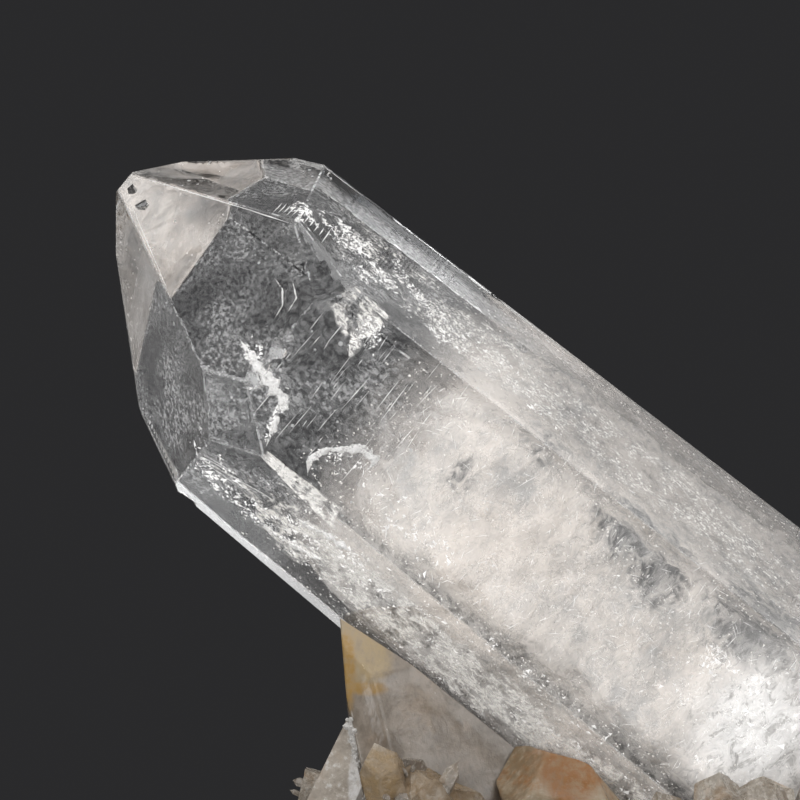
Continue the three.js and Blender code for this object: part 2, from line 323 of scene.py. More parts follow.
def blendColour(tree, share, first, second):
    node = addNode(tree, "Mix", data_type="RGBA")
    plug(tree, share, node.inputs[0])
    for value, target in ((first, node.inputs[6]), (second, node.inputs[7])):
        plug(tree, (*value, 1) if isinstance(value, tuple) else value, target)
    return node.outputs[2]


def grain(tree, place, perMm, detail=3.0, roughness=0.55, stretch=None, bend=0.0):
    # noise with so many lumps to the millimetre
    if stretch:
        pull = addNode(tree, "VectorMath", operation="MULTIPLY")
        pull.inputs[1].default_value = stretch
        wire(tree, (place, pull.inputs[0]))
        place = pull.outputs[0]
    node = addNode(tree, "TexNoise")
    node.inputs["Scale"].default_value = perMm
    node.inputs["Detail"].default_value = detail
    node.inputs["Roughness"].default_value = roughness
    node.inputs["Distortion"].default_value = bend
    wire(tree, (place, node.inputs["Vector"]))
    return node.outputs["Fac"]


def specks(tree, place, perMm, radius, share):
    # small round spots in some of the cells
    node = addNode(tree, "TexVoronoi")
    node.inputs["Scale"].default_value = perMm
    parts = addNode(tree, "SeparateColor")
    wire(tree, (place, node.inputs["Vector"]), (node.outputs["Color"], parts.inputs[0]))
    reach = times(tree, parts.outputs[1], radius)
    inside = calc(tree, "LESS_THAN", node.outputs["Distance"], reach)
    return times(tree, inside, calc(tree, "LESS_THAN", parts.outputs[0], share))


def placeInMm(tree):
    spot = addNode(tree, "TexCoord")
    scale = addNode(tree, "VectorMath", operation="SCALE")
    scale.inputs["Scale"].default_value = 1 / mm
    wire(tree, (spot.outputs["Object"], scale.inputs[0]))
    return scale.outputs[0]


def placeInPoint(tree):
    # x out of the broad front, y across, z up the large point's axis, in millimetres
    spot = placeInMm(tree)
    shift = addNode(tree, "VectorMath", operation="SUBTRACT")
    shift.inputs[1].default_value = pointRoot
    wire(tree, (spot, shift.inputs[0]))
    joined = addNode(tree, "CombineXYZ")
    for way, target in zip(toPoint, joined.inputs):
        part = addNode(tree, "VectorMath", operation="DOT_PRODUCT")
        part.inputs[1].default_value = way
        wire(tree, (shift.outputs[0], part.inputs[0]), (part.outputs["Value"], target))
    return joined.outputs[0]


def addBump(tree, shader, height, distance, strength=1.0):
    bump = addNode(tree, "Bump")
    bump.inputs["Strength"].default_value = strength
    bump.inputs["Distance"].default_value = distance * mm
    wire(tree, (height, bump.inputs["Height"]), (bump.outputs["Normal"], shader.inputs["Normal"]))


clearQuartz = {
    "ior": 1.544,
    "tint": (0.93, 0.95, 0.97),
    "density": 6,
    "roughness": 0.012,
    "roughBack": 0.07,
    "backStarts": -10,  # the broad back face lies behind this, and is frosted
    "backFrost": 0.05,
    "backGrain": 0.3,
    "grainsPerMm": 2.3,
    "frostPatches": {"perMm": 0.16, "least": 0.4, "most": 1.2},
    "dust": {"perMm": 0.55, "radius": 0.13, "share": 0.35},
    "dustWhite": 0.7,
    "smudges": {"perMm": 0.35, "rough": 0.05},
    "striaeDepth": 0.013,
    "striaeStretch": (0.06, 0.06, 1.4),
    "ripples": {"perMm": 0.7, "tip": 0.05, "sides": 0.3},
    "pits": 0.6,
    "worn": {"perMm": 0.5, "clear": 0.45, "roughness": 0.35, "pitsPerMm": 3, "pitDepth": 0.06},
}


def makeWornQuartz():
    # bruised edges and chips, white where they are crushed
    worn = clearQuartz["worn"]
    finish, tree, shader = newFinish("wornQuartz")
    place = placeInMm(tree)
    crushed = spread(tree, grain(tree, place, worn["perMm"], 5, 0.75), 0.45, 0.62)
    clear = spread(tree, crushed, 0, 1, 1, worn["clear"])
    shader.inputs["Base Color"].default_value = (1, 1, 1, 1)
    shader.inputs["IOR"].default_value = clearQuartz["ior"]
    wire(tree, (clear, shader.inputs["Transmission Weight"]))
    wire(tree, (times(tree, crushed, worn["roughness"]), shader.inputs["Roughness"]))
    addBump(tree, shader, grain(tree, place, worn["pitsPerMm"], 4, 0.7), worn["pitDepth"])
    return finish


def makeClearQuartz():
    finish, tree, shader = newFinish("clearQuartz")
    place = placeInPoint(tree)
    parts = addNode(tree, "SeparateXYZ")
    wire(tree, (place, parts.inputs[0]))
    outward = addNode(tree, "NewGeometry")
    along = addNode(tree, "VectorMath", operation="DOT_PRODUCT")
    along.inputs[1].default_value = toPoint[2]
    wire(tree, (outward.outputs["Normal"], along.inputs[0]))
    onSides = spread(tree, calc(tree, "ABSOLUTE", along.outputs["Value"]), 0.35, 0.25)
    behind = spread(tree, parts.outputs[0], clearQuartz["backStarts"], clearQuartz["backStarts"] - 1.5)
    behind = times(tree, behind, onSides)
    grains = spread(tree, grain(tree, place, clearQuartz["grainsPerMm"], 3, 0.7), 0.36, 0.68)
    patch = clearQuartz["frostPatches"]
    patches = spread(tree, grain(tree, place, patch["perMm"], 1), 0.3, 0.7, patch["least"], patch["most"])
    frost = times(tree, grains, clearQuartz["backGrain"])
    frost = times(tree, plus(tree, frost, clearQuartz["backFrost"]), patches)
    frost = times(tree, frost, behind)
    dust = times(tree, specks(tree, place, **clearQuartz["dust"]), clearQuartz["dustWhite"])
    clear = rest(tree, calc(tree, "MAXIMUM", frost, dust))
    smudges = clearQuartz["smudges"]
    smudge = spread(tree, grain(tree, place, smudges["perMm"], 2, 0.6), 0.5, 0.8, 0, smudges["rough"])
    rough = times(tree, behind, clearQuartz["roughBack"])
    rough = plus(tree, plus(tree, rough, smudge), clearQuartz["roughness"])
    shader.inputs["Base Color"].default_value = (1, 1, 1, 1)
    shader.inputs["IOR"].default_value = clearQuartz["ior"]
    wire(tree, (clear, shader.inputs["Transmission Weight"]), (rough, shader.inputs["Roughness"]))
    # fine steps across the prism faces, none on the tip
    steps = times(tree, grain(tree, place, 1, 2, 0.7, stretch=clearQuartz["striaeStretch"]), onSides)
    ripple = clearQuartz["ripples"]
    ripples = spread(tree, onSides, 0, 1, ripple["tip"], ripple["sides"])
    ripples = times(tree, grain(tree, place, ripple["perMm"], 1), ripples)
    pits = times(tree, times(tree, grains, behind), clearQuartz["pits"])
    addBump(tree, shader, plus(tree, plus(tree, steps, ripples), pits), clearQuartz["striaeDepth"])
    depth = addNode(tree, "VolumeAbsorption")
    depth.inputs["Color"].default_value = (*clearQuartz["tint"], 1)
    depth.inputs["Density"].default_value = clearQuartz["density"]
    wire(tree, (depth.outputs["Volume"], tree.nodes["Material Output"].inputs["Volume"]))
    return finish


def makeDull(name, colour, roughness=0.6, through=0.5):
    # light scatters off and through it
    finish, tree, shader = newFinish(name)
    shader.inputs["Base Color"].default_value = (*colour, 1)
    shader.inputs["Roughness"].default_value = roughness
    behind = addNode(tree, "BsdfTranslucent")
    behind.inputs["Color"].default_value = (*colour, 1)
    both = addNode(tree, "MixShader")
    both.inputs["Fac"].default_value = through
    wire(
        tree,
        (shader.outputs["BSDF"], both.inputs[1]),
        (behind.outputs["BSDF"], both.inputs[2]),
        (both.outputs["Shader"], tree.nodes["Material Output"].inputs["Surface"]),
    )
    return finish


# The large clear point

largeRelief = {
    "edgeWear": 0.11,
    "shortestWorn": 3,
    "smallestFace": 3,  # smaller ones are inside chips
    "pitsAbove": 90,  # the pits by the tip stay clear
    "longest": 1.1,
    "stepHeight": 0.012,
    "stepsPerMm": (0.22, 0.03, 0.03),  # along, to the front and across
    "stepLevels": 5,
    "wave": 0.03,
    "wavesPerMm": 0.11,
    "tipWave": 0.5,
    "fade": 2,
}


def largeHeight(spot, way):
    x, y, z = inPoint(spot)
    wave = noise.noise(spot * largeRelief["wavesPerMm"]) * largeRelief["wave"]
    if abs(way.dot(fromPoint @ Vector((0, 0, 1)))) > onTip:  # a tip face is smoother
        return wave * largeRelief["tipWave"]
    along, front, across = largeRelief["stepsPerMm"]
    steps = noise.noise(Vector((z * along, x * front, y * across))) * largeRelief["stepLevels"]
    return wave + round(steps) / largeRelief["stepLevels"] * largeRelief["stepHeight"]


def makeLargePoint():
    shape = facetedCopy("main_crystal")
    faces = []
    for face in shape.faces:
        if face.calc_area() > largeRelief["smallestFace"] * mm * mm:
            faces.append((face.normal.copy(), face.normal.dot(face.verts[0].co) / mm))
        elif inPoint(face.calc_center_median() / mm).z < largeRelief["pitsAbove"]:
            face.material_index = 1
    wearEdges(shape, largeRelief["edgeWear"], largeRelief["shortestWorn"], finish=1)
    cutFine(shape, largeRelief["longest"])
    liftFlat(shape, largeHeight, largeRelief["fade"])
    body = finishShape(shape, "clearPoint")
    body.data.materials.append(makeClearQuartz())
    body.data.materials.append(makeWornQuartz())
    body.visible_shadow = False
    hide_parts("main_crystal")
    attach(body, "root")
    print("clear point:", len(body.data.polygons), "faces")
    return faces


# Chips: what is milky inside the stone is thousands of tiny flakes

def scatterTree(name, inputs, makeItem):
    # the item stands at each spot, with the turn and size that the spot carries
    tree = bpy.data.node_groups.new(name, "GeometryNodeTree")
    sockets, nodes = tree.interface, tree.nodes
    sockets.new_socket("Geometry", in_out="INPUT", socket_type="NodeSocketGeometry")
    for key in inputs:
        sockets.new_socket(key, in_out="INPUT", socket_type="NodeSocketFloat")
    sockets.new_socket("Finish", in_out="INPUT", socket_type="NodeSocketMaterial")
    sockets.new_socket("Geometry", in_out="OUTPUT", socket_type="NodeSocketGeometry")
    start, end = nodes.new("NodeGroupInput"), nodes.new("NodeGroupOutput")
    place = nodes.new("GeometryNodeInstanceOnPoints")
    for key, target in (("turn", "Rotation"), ("size", "Scale")):
        own = nodes.new("GeometryNodeInputNamedAttribute")
        own.data_type = "FLOAT_VECTOR"
        own.inputs["Name"].default_value = key
        wire(tree, (own.outputs["Attribute"], place.inputs[target]))
    solid, coat = nodes.new("GeometryNodeRealizeInstances"), nodes.new("GeometryNodeSetMaterial")
    wire(
        tree,
        (start.outputs["Geometry"], place.inputs["Points"]),
        (makeItem(tree, start.outputs), place.inputs["Instance"]),
        (place.outputs["Instances"], solid.inputs["Geometry"]),
        (solid.outputs["Geometry"], coat.inputs["Geometry"]),
        (start.outputs["Finish"], coat.inputs["Material"]),
        (coat.outputs["Geometry"], end.inputs["Geometry"]),
    )
    return tree


def makeChip(tree, given):
    # a three-sided flake
    chip, shape = tree.nodes.new("GeometryNodeMeshCone"), tree.nodes.new("ShaderNodeCombineXYZ")
    stretch = tree.nodes.new("GeometryNodeTransform")
    chip.inputs["Vertices"].default_value = 3
    chip.inputs["Radius Bottom"].default_value = 1
    chip.inputs["Depth"].default_value = 1
    wire(
        tree,
        (given["Chip size"], shape.inputs["X"]),
        (given["Chip length"], shape.inputs["Y"]),
        (given["Chip thickness"], shape.inputs["Z"]),
        (chip.outputs["Mesh"], stretch.inputs["Geometry"]),
        (shape.outputs["Vector"], stretch.inputs["Scale"]),
    )
    return stretch.outputs["Geometry"]


def scatter(name, tree, spots, sizes, turns, inputs):
    # one chip at each spot (in mm), as one plain mesh
    points = bpy.data.meshes.new(name + "Points")
    points.from_pydata((np.asarray(spots) * mm).tolist(), [], [])
    for key, values in (("size", sizes), ("turn", turns)):
        own = points.attributes.new(key, "FLOAT_VECTOR", "POINT").data
        own.foreach_set("vector", np.asarray(values, np.float32).ravel())
    carrier = linkPiece(name + "Points", points)
    modifier = carrier.modifiers.new("chips", "NODES")
    modifier.node_group = tree
    for item in tree.interface.items_tree:
        if item.in_out == "INPUT" and item.name in inputs:
            modifier[item.identifier] = inputs[item.name]
    made = bpy.data.meshes.new_from_object(carrier.evaluated_get(bpy.context.evaluated_depsgraph_get()))
    made.name = name
    bpy.data.objects.remove(carrier)
    body = linkPiece(name, made)
    print(name + ":", len(made.polygons), "faces")
    return body


milk = {
    "middle": (0, 1),  # the shells close in on this line along the axis
    "from": -4.5,
    "rings": 120,
    "spokes": 120,
    "dark": (0.55, 0.54, 0.53),
    "pale": (0.88, 0.825, 0.775),
    "upper": ((0.20, 0.195, 0.19), (0.42, 0.39, 0.365)),  # dark and pale along the upper side
    "upperStarts": (5.5, 11),
    "lower": ((0.10, 0.10, 0.10), (0.62, 0.605, 0.59)),  # dark and pale along the lower side
    "lowerStarts": (-8.2, -10.2),
    "clear": (0.17, 0.17, 0.17),  # a pocket with nothing milky in it
    # painted light: the milk is whiter near the root, where light from below and behind would brighten it; the fog
    # shell is also thicker there
    "paintedGlow": {"at": (15, 0, 12), "reach": 12, "ragged": 8, "dark": (0.5, 0.49, 0.48), "pale": (0.96, 0.95, 0.94)},
    "puffsPerMm": 0.13,
    "wispsPerMm": 0.8,
    "pocketRagged": 1.6,
    "pocketThins": 0.6,
    "front": {"puffs": 16, "wisps": 10, "ends": 12, "starts": 4},  # how ragged it ends along the axis, and where
    "pockets": [  # where less of it is milky: place and reach
        ((15, 6, 35.8), 3.8), ((15, 5.8, 30), 4), ((15, 8, 19), 6), ((14, 9, 48), 3), ((13, 1, 52), 3),
        ((12, -13, 40), 2.6), ((9, -15, 30), 3), ((12, -13, 22), 2.6),
    ],
    "shells": {
        "milkyCore": {"inset": 6.2, "to": 54, "cap": 8, "swell": 0.7, "solid": 2},
        "milkyHeart": {"inset": 4.4, "to": 61, "cap": 16, "swell": 0.8, "solid": 1.0},
        "milkyFog": {"inset": 2.4, "to": 66, "cap": 18, "swell": 0.5, "solid": 0.5},
    },
    "lowerInset": 2.4,  # more of it is clear along the lower edge
    "lowerTurn": 300,
    "least": 0.5,  # clear of the faces
    "lump": {"around": 1.4, "perMm": 0.12},
    "ragged": 3,
}


def makeMilk(name, solid, ends):
    finish, tree, shader = newFinish(name)
    place = placeInPoint(tree)
    puffs = grain(tree, place, milk["puffsPerMm"], 2, 0.55, bend=0.4)
    wisps = grain(tree, place, milk["wispsPerMm"], 3, 0.75, stretch=(1, 0.6, 1), bend=0.6)
    share = plus(tree, times(tree, puffs, 0.5), times(tree, wisps, 0.5))
    share = spread(tree, share, 0.34, 0.6)
    pocket = None
    for at, reach in milk["pockets"]:
        ragged = plus(tree, distance(tree, place, at), times(tree, wisps, reach * milk["pocketRagged"]))
        one = spread(tree, ragged, reach * 1.9, reach * 1.1)
        pocket = one if pocket is None else calc(tree, "MAXIMUM", pocket, one)
    share = times(tree, share, rest(tree, times(tree, pocket, milk["pocketThins"])))
    # painted light near the root: a whiter mottled colour, and a thicker fog shell
    paintedGlow = milk["paintedGlow"]
    white = plus(tree, distance(tree, place, paintedGlow["at"]), times(tree, wisps, paintedGlow["ragged"]))
    white = spread(tree, white, paintedGlow["reach"] + paintedGlow["ragged"] / 2, paintedGlow["reach"] * 0.5)
    parts = addNode(tree, "SeparateXYZ")
    wire(tree, (place, parts.inputs[0]))
    colour = blendColour(tree, share, milk["dark"], milk["pale"])
    mottled = spread(tree, plus(tree, times(tree, wisps, 0.7), times(tree, puffs, 0.3)), 0.4, 0.56)
    upper = blendColour(tree, mottled, *milk["upper"])
    colour = blendColour(tree, spread(tree, parts.outputs[1], *milk["upperStarts"], 0, 0.8), colour, upper)
    lower = blendColour(tree, mottled, *milk["lower"])
    colour = blendColour(tree, spread(tree, parts.outputs[1], *milk["lowerStarts"], 0, 0.85), colour, lower)
    cleared = times(tree, pocket, spread(tree, wisps, 0.38, 0.56, 0.95, 0.45))
    colour = blendColour(tree, cleared, colour, milk["clear"])
    glowColours = blendColour(tree, spread(tree, wisps, 0.36, 0.5), paintedGlow["dark"], paintedGlow["pale"])
    colour = blendColour(tree, white, colour, glowColours)
    wire(tree, (colour, shader.inputs["Base Color"]))
    shader.inputs["Roughness"].default_value = 0.7
    shader.inputs["Specular IOR Level"].default_value = 0.1
    addBump(tree, shader, wisps, 0.5, 0.5)
    if solid > 1:
        return finish
    front = milk["front"]
    height = plus(tree, parts.outputs[2], times(tree, puffs, front["puffs"]))
    height = plus(tree, height, times(tree, wisps, front["wisps"]))
    fade = spread(tree, height, ends + front["ends"], ends + front["starts"])
    filled = plus(tree, share, white) if solid < 1 else 1
    wire(tree, (times(tree, times(tree, filled, fade), solid), shader.inputs["Alpha"]))
    return finish


def makeMilkyShells(glass):
    walls = [(way, far) for way, far in glass if abs(way.z) < onTip]
    lowerTurn, lumps = math.radians(milk["lowerTurn"]), milk["lump"]
    lowerWay = Vector((math.cos(lowerTurn), math.sin(lowerTurn), 0))
    for index, (name, shell) in enumerate(milk["shells"].items()):
        shape = bmesh.new()
        rows = []
        for i in range(milk["rings"] + 1):
            share = i / milk["rings"]
            z = milk["from"] + (shell["to"] - milk["from"]) * share
            cap = min(1, (shell["to"] - z) / shell["cap"])
            taper = math.sqrt(max(0, 1 - (1 - cap) ** 2)) if i else 0
            middle = Vector((*milk["middle"], z))
            row = []
            for j in range(milk["spokes"]):
                turn = 2 * math.pi * j / milk["spokes"]
                way = Vector((math.cos(turn), math.sin(turn), 0))
                reach = min((far - middle.dot(n)) / way.dot(n) for n, far in walls if way.dot(n) > 0.05)
                lumpSpot = way * lumps["around"] + Vector((0, 0, z * lumps["perMm"] + index * 9))
                lump = noise.fractal(lumpSpot, 0.9, 2.1, 6)
                inset = shell["inset"] + milk["lowerInset"] * max(0, way.dot(lowerWay)) ** 2
                reach = min(reach - milk["least"], reach - inset + shell["swell"] * lump * 2) * taper
                ragged = noise.fractal(way * reach * lumps["perMm"] + Vector((0, 0, index)), 0.9, 2.1, 5)
                ragged *= milk["ragged"] * (1 - cap)
                row.append(shape.verts.new(fromPointSpot(middle + way * reach + Vector((0, 0, ragged))) * mm))
            rows.append(row)
        skin(shape, rows)
        body = finishShape(shape, name, sharp=180)
        body.data.materials.append(makeMilk(name, shell["solid"], shell["to"]))
        keepInside(body, shadow=shell["solid"] > 1)
        print(name + ":", len(body.data.polygons), "faces")


cloud = {
    "seed": 4,
    "tries": 60000,
    "front": 66,  # how far up the axis the milkiness reaches
    "fade": 22,
    "margin": 0.4,
    "box": ((-16, -21, -5), (20, 21, 72)),  # in the point's frame
    "puffs": (0.05, 0.1, 0.08),
    "density": (0.62, 0.5),  # on average, and how much the puffs change it
    "size": (0.35, 1.3),
    "chip": {"Chip size": 0.12 * mm, "Chip length": 0.16 * mm, "Chip thickness": 0.05 * mm},
    "colour": (0.93, 0.91, 0.89),
}


def cloudDensity(x, y, z):
    start = min(1, max(0, (cloud["front"] - z) / cloud["fade"]))
    scale, (average, change) = cloud["puffs"], cloud["density"]
    puffs = noise.fractal(Vector((x * scale[0], y * scale[1], z * scale[2])), 0.9, 2.1, 4)
    return start * min(1, max(0, average + change * puffs))


def makeCloud(walls, tree):
    rng = np.random.default_rng(cloud["seed"])
    low, high = np.array(cloud["box"])
    tries = low + rng.random((cloud["tries"], 3)) * (high - low)
    normals, reaches = np.array([way for way, _ in walls]), np.array([far for _, far in walls])
    tries = tries[(tries @ normals.T < reaches - cloud["margin"]).all(1)]
    kept = [rng.random() < cloudDensity(*spot) for spot in tries]
    tries = tries[np.array(kept)]
    spots = tries @ np.array(toPoint) + np.array(pointRoot)
    sizes = np.tile(rng.uniform(*cloud["size"], (len(spots), 1)), 3)
    turns = rng.uniform(0, 2 * math.pi, (len(spots), 3))
    finish = makeDull("milkyChips", cloud["colour"])
    body = scatter("milkyCloud", tree, spots, sizes, turns, {**cloud["chip"], "Finish": finish})
    keepInside(body)


# Flakes and cracks. Places are in the large point's own frame: to the front, across, along the axis

def within(ends, share):
    return ends[0] + (ends[1] - ends[0]) * share


def heldIn(spot, walls, margin):
    for way, far in walls * 3:
        spot = spot - way * max(0, way.dot(spot) - far + margin)
    return spot


flakes = {
    "seed": 11,
    "margin": 0.1,
    "chip": {"Chip size": 1.3 * mm, "Chip length": 1.7 * mm, "Chip thickness": 0.35 * mm},
    "colour": (0.98, 0.975, 0.97),
    "clumping": {"across": 5, "middle": 0.9, "luck": 0.35},
    "choices": 5,  # places to choose from for each flake
    "mostlySmall": 6,
    "shapes": ((0.35, 0.35, 0.6), (1.15, 1.5, 1.4)),
    # four corners, how many, their radius, and how deep they are spread
    "patches": {
        "ragged chip": (
            ((14.6, -1.2, 78.4), (13.4, -3.6, 77.6), (16.2, -6, 70), (17.2, -3, 70)), 500, (0.04, 0.22), 0.5,
        ),
        "chip end": (
            ((16.9, -3.4, 71), (16.3, -5.2, 70.4), (15.6, -9.4, 68.4), (16.2, -9, 69.8)), 160, (0.04, 0.25), 0.4,
        ),
        "arc": (
            ((16.2, -9, 63.6), (16.2, -7, 66.4), (16.4, -2, 62), (16.4, -4.4, 58.4)), 260, (0.03, 0.22), 0.4,
        ),
        "veil corner": (
            ((15.9, 3.2, 70), (15.7, 8.8, 70), (15.6, 8.6, 65.5), (15.9, 4, 66)), 500, (0.03, 0.16), 0.6,
        ),
        "dust high": (((12, 10.2, 82), (2, 15, 84), (3, 14.4, 60), (13.6, 9.4, 60)), 2600, (0.03, 0.3), 0.9),
        "dust middle": (((13.4, 9.4, 70), (4, 14, 70), (4, 14, 44), (14, 9.2, 44)), 1100, (0.03, 0.26), 1.2),
        "dust low": (((14, 9.2, 52), (2, 15, 52), (2, 15.6, 8), (14.5, 9.6, 8)), 520, (0.03, 0.2), 1.4),
        "steps": (
            ((11.2, 10.2, 81.5), (7.2, 13.2, 84.5), (6.5, 13.8, 81), (10.6, 10.8, 77)), 420, (0.03, 0.26), 0.5,
        ),
        "lower corner": (
            ((13, -12, 78), (4, -16.6, 76), (4, -17.6, 58), (12, -13, 58)), 1100, (0.03, 0.32), 1.1,
        ),
        "lower front": (
            ((14.6, -10.4, 68), (7, -14.6, 68), (7, -15, 42), (15.6, -10.8, 42)), 1300, (0.03, 0.34), 1.2,
        ),
        "lower back": (
            ((15.4, -10.8, 46), (7, -15.2, 46), (7, -15, 4), (15.8, -11, 4)), 1500, (0.03, 0.3), 1.4,
        ),
        "edge": (((16.2, -9, 66), (15, -11.2, 66), (15.6, -11.4, 14), (17, -9, 14)), 420, (0.03, 0.24), 0.6),
        "rim": (((9, -13.8, 76), (3, -16, 72), (4, -17.2, 20), (8.4, -15.4, 20)), 600, (0.03, 0.26), 0.9),
        "crackle": (((17, -8, 24), (17, 8, 22), (17, 8, 2), (16.6, -9, 2)), 1500, (0.03, 0.3), 2.2),
        "front": (((16, -9, 64), (16, 9, 64), (16.2, 9, 4), (16.2, -9, 4)), 1100, (0.02, 0.16), 1.6),
        "front corner": (((16, -9, 60), (16, -3, 60), (16.2, -5, 44), (15.6, -10, 44)), 420, (0.03, 0.28), 1),
    },
}


def makeFlakes(walls, tree):
    rng = np.random.default_rng(flakes["seed"])
    spots, sizes = [], []
    across, middle, luck = flakes["clumping"].values()
    for corners, count, radius, depth in flakes["patches"].values():
        a, b, c, d = (np.array(corner, float) for corner in corners)
        choices = count * flakes["choices"]
        u, v = rng.random((2, choices, 1))
        places = (Vector((x * across + count, y * across, 0)) for x, y in np.hstack((u, v)))
        clumps = np.array([noise.fractal(place, 0.8, 2.1, 4) for place in places])
        soft = (np.sin(math.pi * u) * np.sin(math.pi * v))[:, 0]
        best = np.argsort(-(clumps + soft * middle + rng.random(choices) * luck))[:count]
        u, v = u[best], v[best]
        inward = np.cross(b - a, d - a)
        inward /= np.linalg.norm(inward)
        inward *= -1 if inward[0] > 0 else 1
        flat = (a * (1 - u) + b * u) * (1 - v) + (d * (1 - u) + c * u) * v
        spots.append(flat + inward * rng.random((count, 1)) * depth)
        sizes.append(radius[0] + (radius[1] - radius[0]) * rng.random(count) ** flakes["mostlySmall"])
    spots, sizes = np.concatenate(spots), np.concatenate(sizes)
    for way, far in walls * 3:
        over = spots @ np.array(way) - far + flakes["margin"] + 2 * sizes
        spots -= np.maximum(0, over)[:, None] * np.array(way)
    spots = spots @ np.array(toPoint) + np.array(pointRoot)
    turns = rng.uniform(0, 2 * math.pi, (len(spots), 3))
    sizes = sizes[:, None] * rng.uniform(*flakes["shapes"], (len(spots), 3))
    finish = makeDull("whiteFlakes", flakes["colour"], roughness=0.25, through=0.45)
    body = scatter("whiteFlakes", tree, spots, sizes, turns, {**flakes["chip"], "Finish": finish})
    keepInside(body)


needles = {
    "seed": 23,
    "chip": {"Chip size": 1 * mm, "Chip length": 1 * mm, "Chip thickness": 1 * mm},
    "thick": (0.022, 0.06),
    "margin": 0.15,
    "front": {"at": 18.8, "slope": 0.0314},  # the broad front, and how it leans back along the axis
    # where: ends of the region across and along, depth under the broad front, how many, half lengths, and lean
    "steps": {
        "across": (-7, 8), "along": (56, 73), "deep": (0.5, 1.2), "count": 46, "half": (0.5, 2.6), "lean": 0.05,
    },
    "streaks": {
        "across": (-9, 9), "along": (6, 60), "deep": (0.4, 2.2), "count": 620, "half": (0.12, 1.0), "lean": 1.1,
    },
    "bars": {
        "from": (8.6, 11.6, 84.2), "to": (9.6, 11, 77.6), "way": (-0.8, 0.6, 0.05), "half": 2.1, "count": 11,
        "thicker": 1.6,
    },
    "own": [  # single ones: middle, way, and half length
        ((17.2, 4.6, 46.4), (0, -0.93, 0.35), 2.1), ((16.6, 2.5, 61.7), (0, 1, 0.04), 3.5),
        ((16.4, 2.6, 62.7), (0, 1, 0.02), 2.4), ((16.4, 0.8, 65.3), (0, 1, -0.04), 2.6),
        ((10, -14.6, 72.6), (0, -0.42, 0.9), 4.2), ((10.6, -14.2, 72), (0.1, -0.36, 0.92), 3.6),
        ((9.4, -14.9, 70.4), (0, -0.3, 0.95), 3.0),
        ((4.95, 7.05, 89.2), (12.8, 6.38, -16.77), 10.8), ((9.6, 9.25, 83.3), (12.8, 6.38, -16.77), 3.4),
        ((3.4, -0.8, 91.3), (8.69, -5.86, -11.34), 7.2),
    ],
}


def makeNeedles(walls, tree):
    rng = np.random.default_rng(needles["seed"])
    spots, sizes, turns = [], [], []

    def add(spot, way, half, thick):
        way = Vector(way).normalized() * half
        start, end = (heldIn(Vector(spot) + way * side, walls, needles["margin"]) for side in (-1, 1))
        spots.append(fromPointSpot((start + end) / 2))
        sizes.append((thick, (end - start).length / 2, thick))
        turns.append((fromPoint @ (end - start)).to_track_quat("Y", "Z").to_euler())

    for group in ("steps", "streaks"):
        rule = needles[group]
        for _ in range(rule["count"]):
            across, along, deep, half, thick, _ = rng.random(6)
            y, z = within(rule["across"], across), within(rule["along"], along)
            x = needles["front"]["at"] - z * needles["front"]["slope"] - within(rule["deep"], deep)
            lean = rng.normal(0, rule["lean"])
            way = (rng.normal(0, 0.1), math.cos(lean), math.sin(lean))
            add((x, y, z), way, within(rule["half"], half ** 2), within(needles["thick"], thick))
    for spot, way, half in needles["own"]:
        add(spot, way, half, needles["thick"][1])
    bars = needles["bars"]
    for k in range(bars["count"]):
        spot = Vector(bars["from"]).lerp(Vector(bars["to"]), k / (bars["count"] - 1))
        add(spot, bars["way"], bars["half"] * rng.uniform(0.6, 1.1), needles["thick"][1] * bars["thicker"])
    finish = makeDull("whiteNeedles", flakes["colour"], roughness=0.2, through=0.4)
    body = scatter("whiteNeedles", tree, spots, sizes, turns, {**needles["chip"], "Finish": finish})
    keepInside(body)


# Veils are thin lens-shaped cracks, seen where their walls have healed unevenly

veils = {
    "cells": 44,
    "thick": 0.05,
    "margin": 0.12,
    "apart": 0.04,  # each sheet is held a little deeper than the one before
    "wave": {"perMm": 0.12, "depth": 0.3, "withBend": 0.4, "rim": 4},
    "thinRim": 6,
    "sheets": {  # four corners, bend, style
        "front": (((17.2, -9.6, 62), (17.2, 9.6, 66), (17.8, 9.6, 6), (17.8, -10, 6)), 0.0, "flecks"),
        "upper band": (((13.6, 9.8, 82), (2, 15.6, 84), (2, 16, 6), (15, 10.2, 6)), 0.0, "sand"),
        "lower band": (((14.4, -11.4, 73), (4.6, -16.6, 74), (5, -16.8, 4), (16, -11, 4)), 0.0, "crackle"),
        "wedge": (((16.1, -9.5, 69.4), (15.9, -10, 69.2), (14.8, -12.3, 57.4), (16.5, -9, 58.6)), 0.3, "cream"),
        "tip veil": (((15.4, 6.2, 74.3), (14.8, 9.3, 72.3), (14.6, 8.6, 66.6), (15.6, 2.6, 67.8)), 0.8, "crackle"),
    },
    "styles": {
        # clumps and flecks to the millimetre, where each starts and fills, and an even mist
        "flecks": {"clumpsPerMm": 0.3, "clumps": (0.5, 0.66), "perMm": 2.6, "flecks": (0.6, 0.68), "mist": 0.0},
        "sand": {"clumpsPerMm": 0.35, "clumps": (0.4, 0.56), "perMm": 3, "flecks": (0.55, 0.62), "mist": 0.04},
        "crackle": {"clumpsPerMm": 0.4, "clumps": (0.4, 0.54), "perMm": 1.8, "flecks": (0.45, 0.6), "mist": 0.2},
        "cream": {"clumpsPerMm": 0.7, "clumps": (0.34, 0.52), "perMm": 1.4, "flecks": (0.38, 0.6), "mist": 0.45},
    },
    "colour": (0.95, 0.93, 0.90),
}


